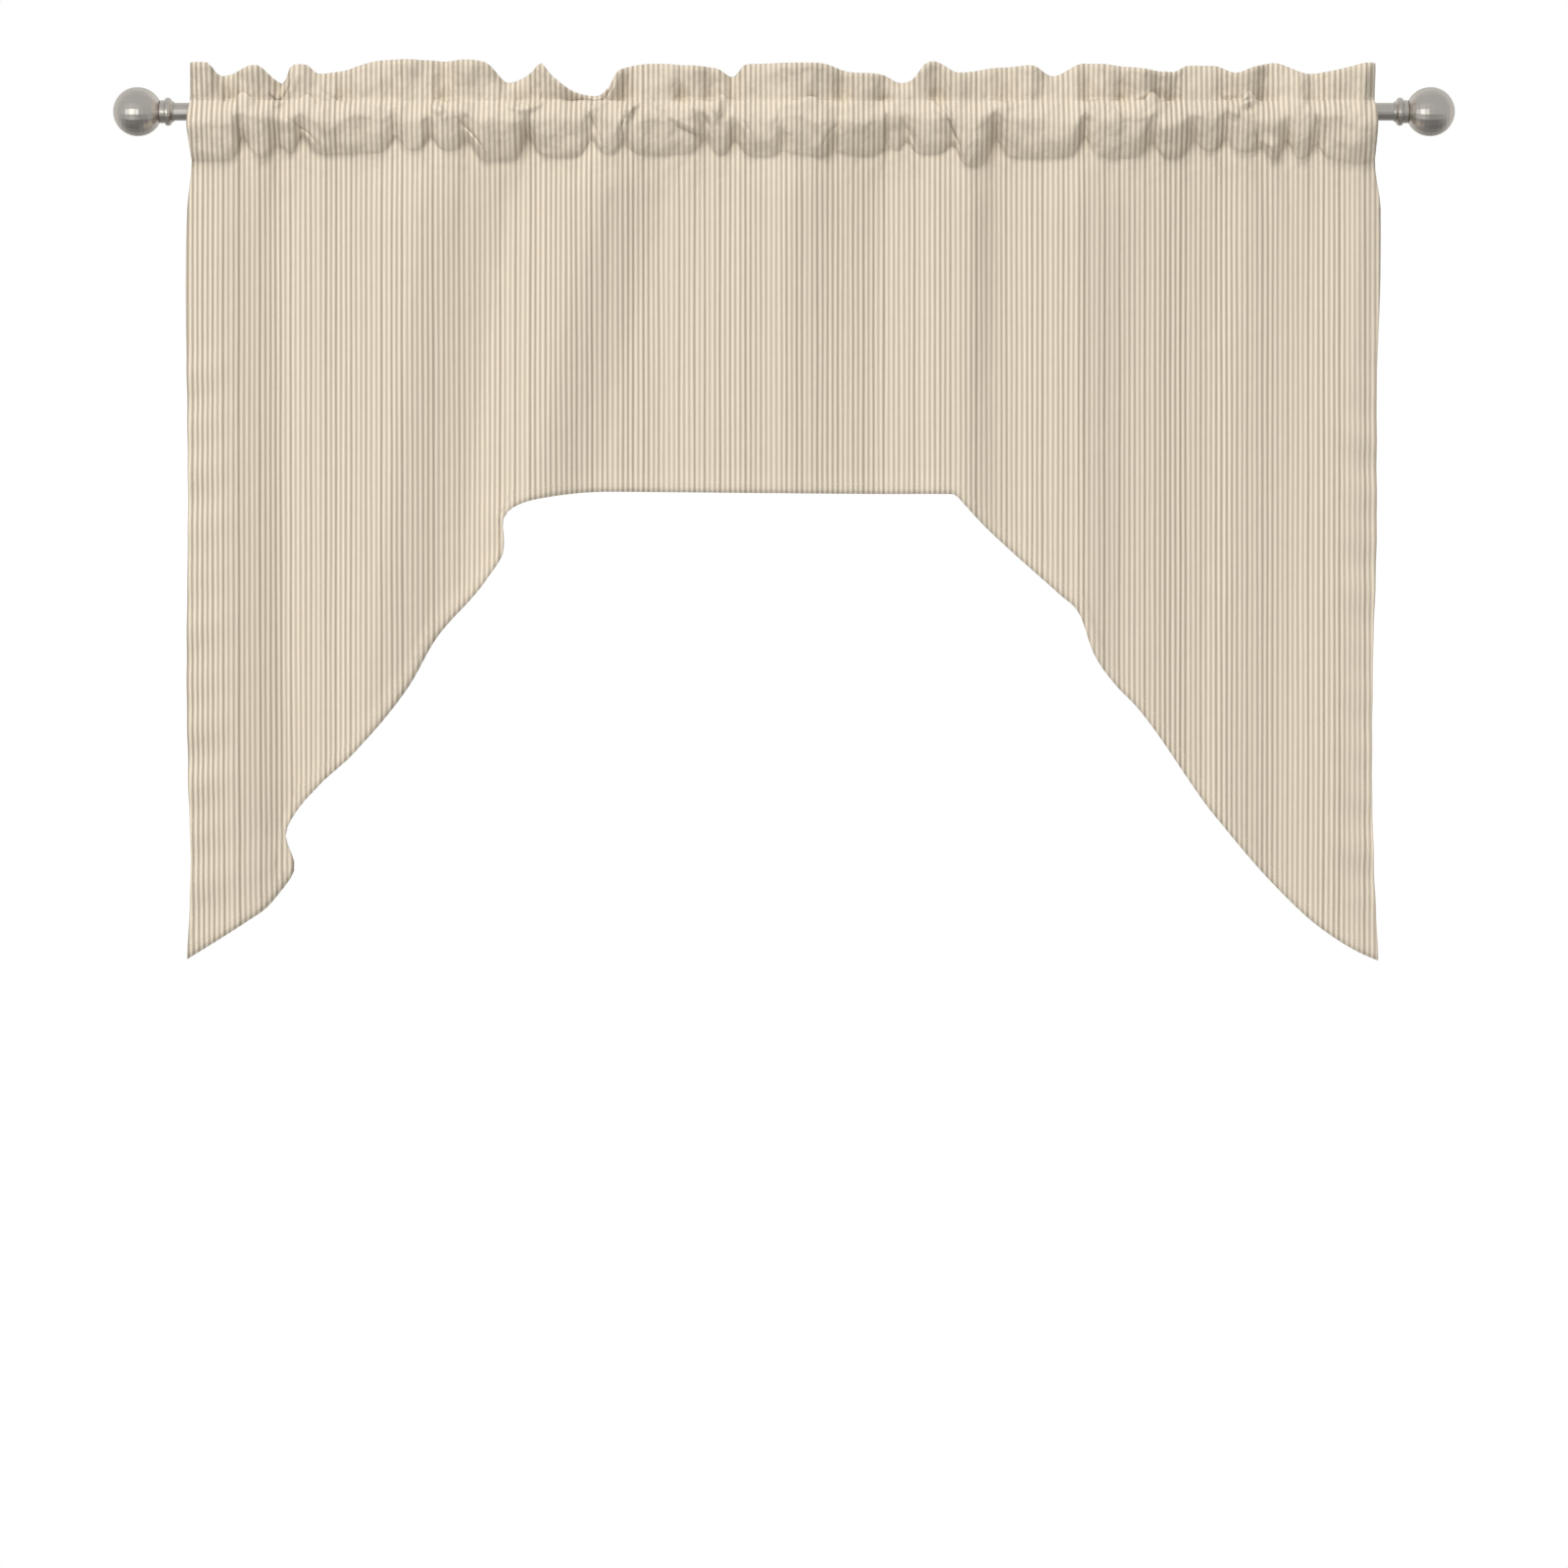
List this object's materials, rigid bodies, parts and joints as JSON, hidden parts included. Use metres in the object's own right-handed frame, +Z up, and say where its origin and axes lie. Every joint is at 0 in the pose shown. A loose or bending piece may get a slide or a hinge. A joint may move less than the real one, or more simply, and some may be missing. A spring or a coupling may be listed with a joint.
{
  "type": "swag valance with curtain rod",
  "caption": "Striped swag valance with long tails, a short middle and a frilled rod pocket, gathered on a round curtain rod with ball finials.",
  "frame": {"origin": "the middle of the curtain rod, on its axis, where the brackets hold it", "axes": "+X along the rod towards the right-hand finial as seen from the room, +Y towards the wall, +Z up; the room is on the -Y side"},
  "size_m": [1.3688, 0.0516, 0.9179],
  "materials": {
    "cloth": "woven ticking with fine upright stripes of cream and sand, matte",
    "rod_metal": "brushed nickel on steel tube",
    "finial_metal": "brushed nickel"
  },
  "bodies": {
    "root": {"swag_valance": "cloth", "curtain_rod": "rod_metal", "finial_collar_left": "finial_metal", "finial_collar_right": "finial_metal", "finial_ball_left": "finial_metal", "finial_ball_right": "finial_metal"}
  },
  "joints": []
}
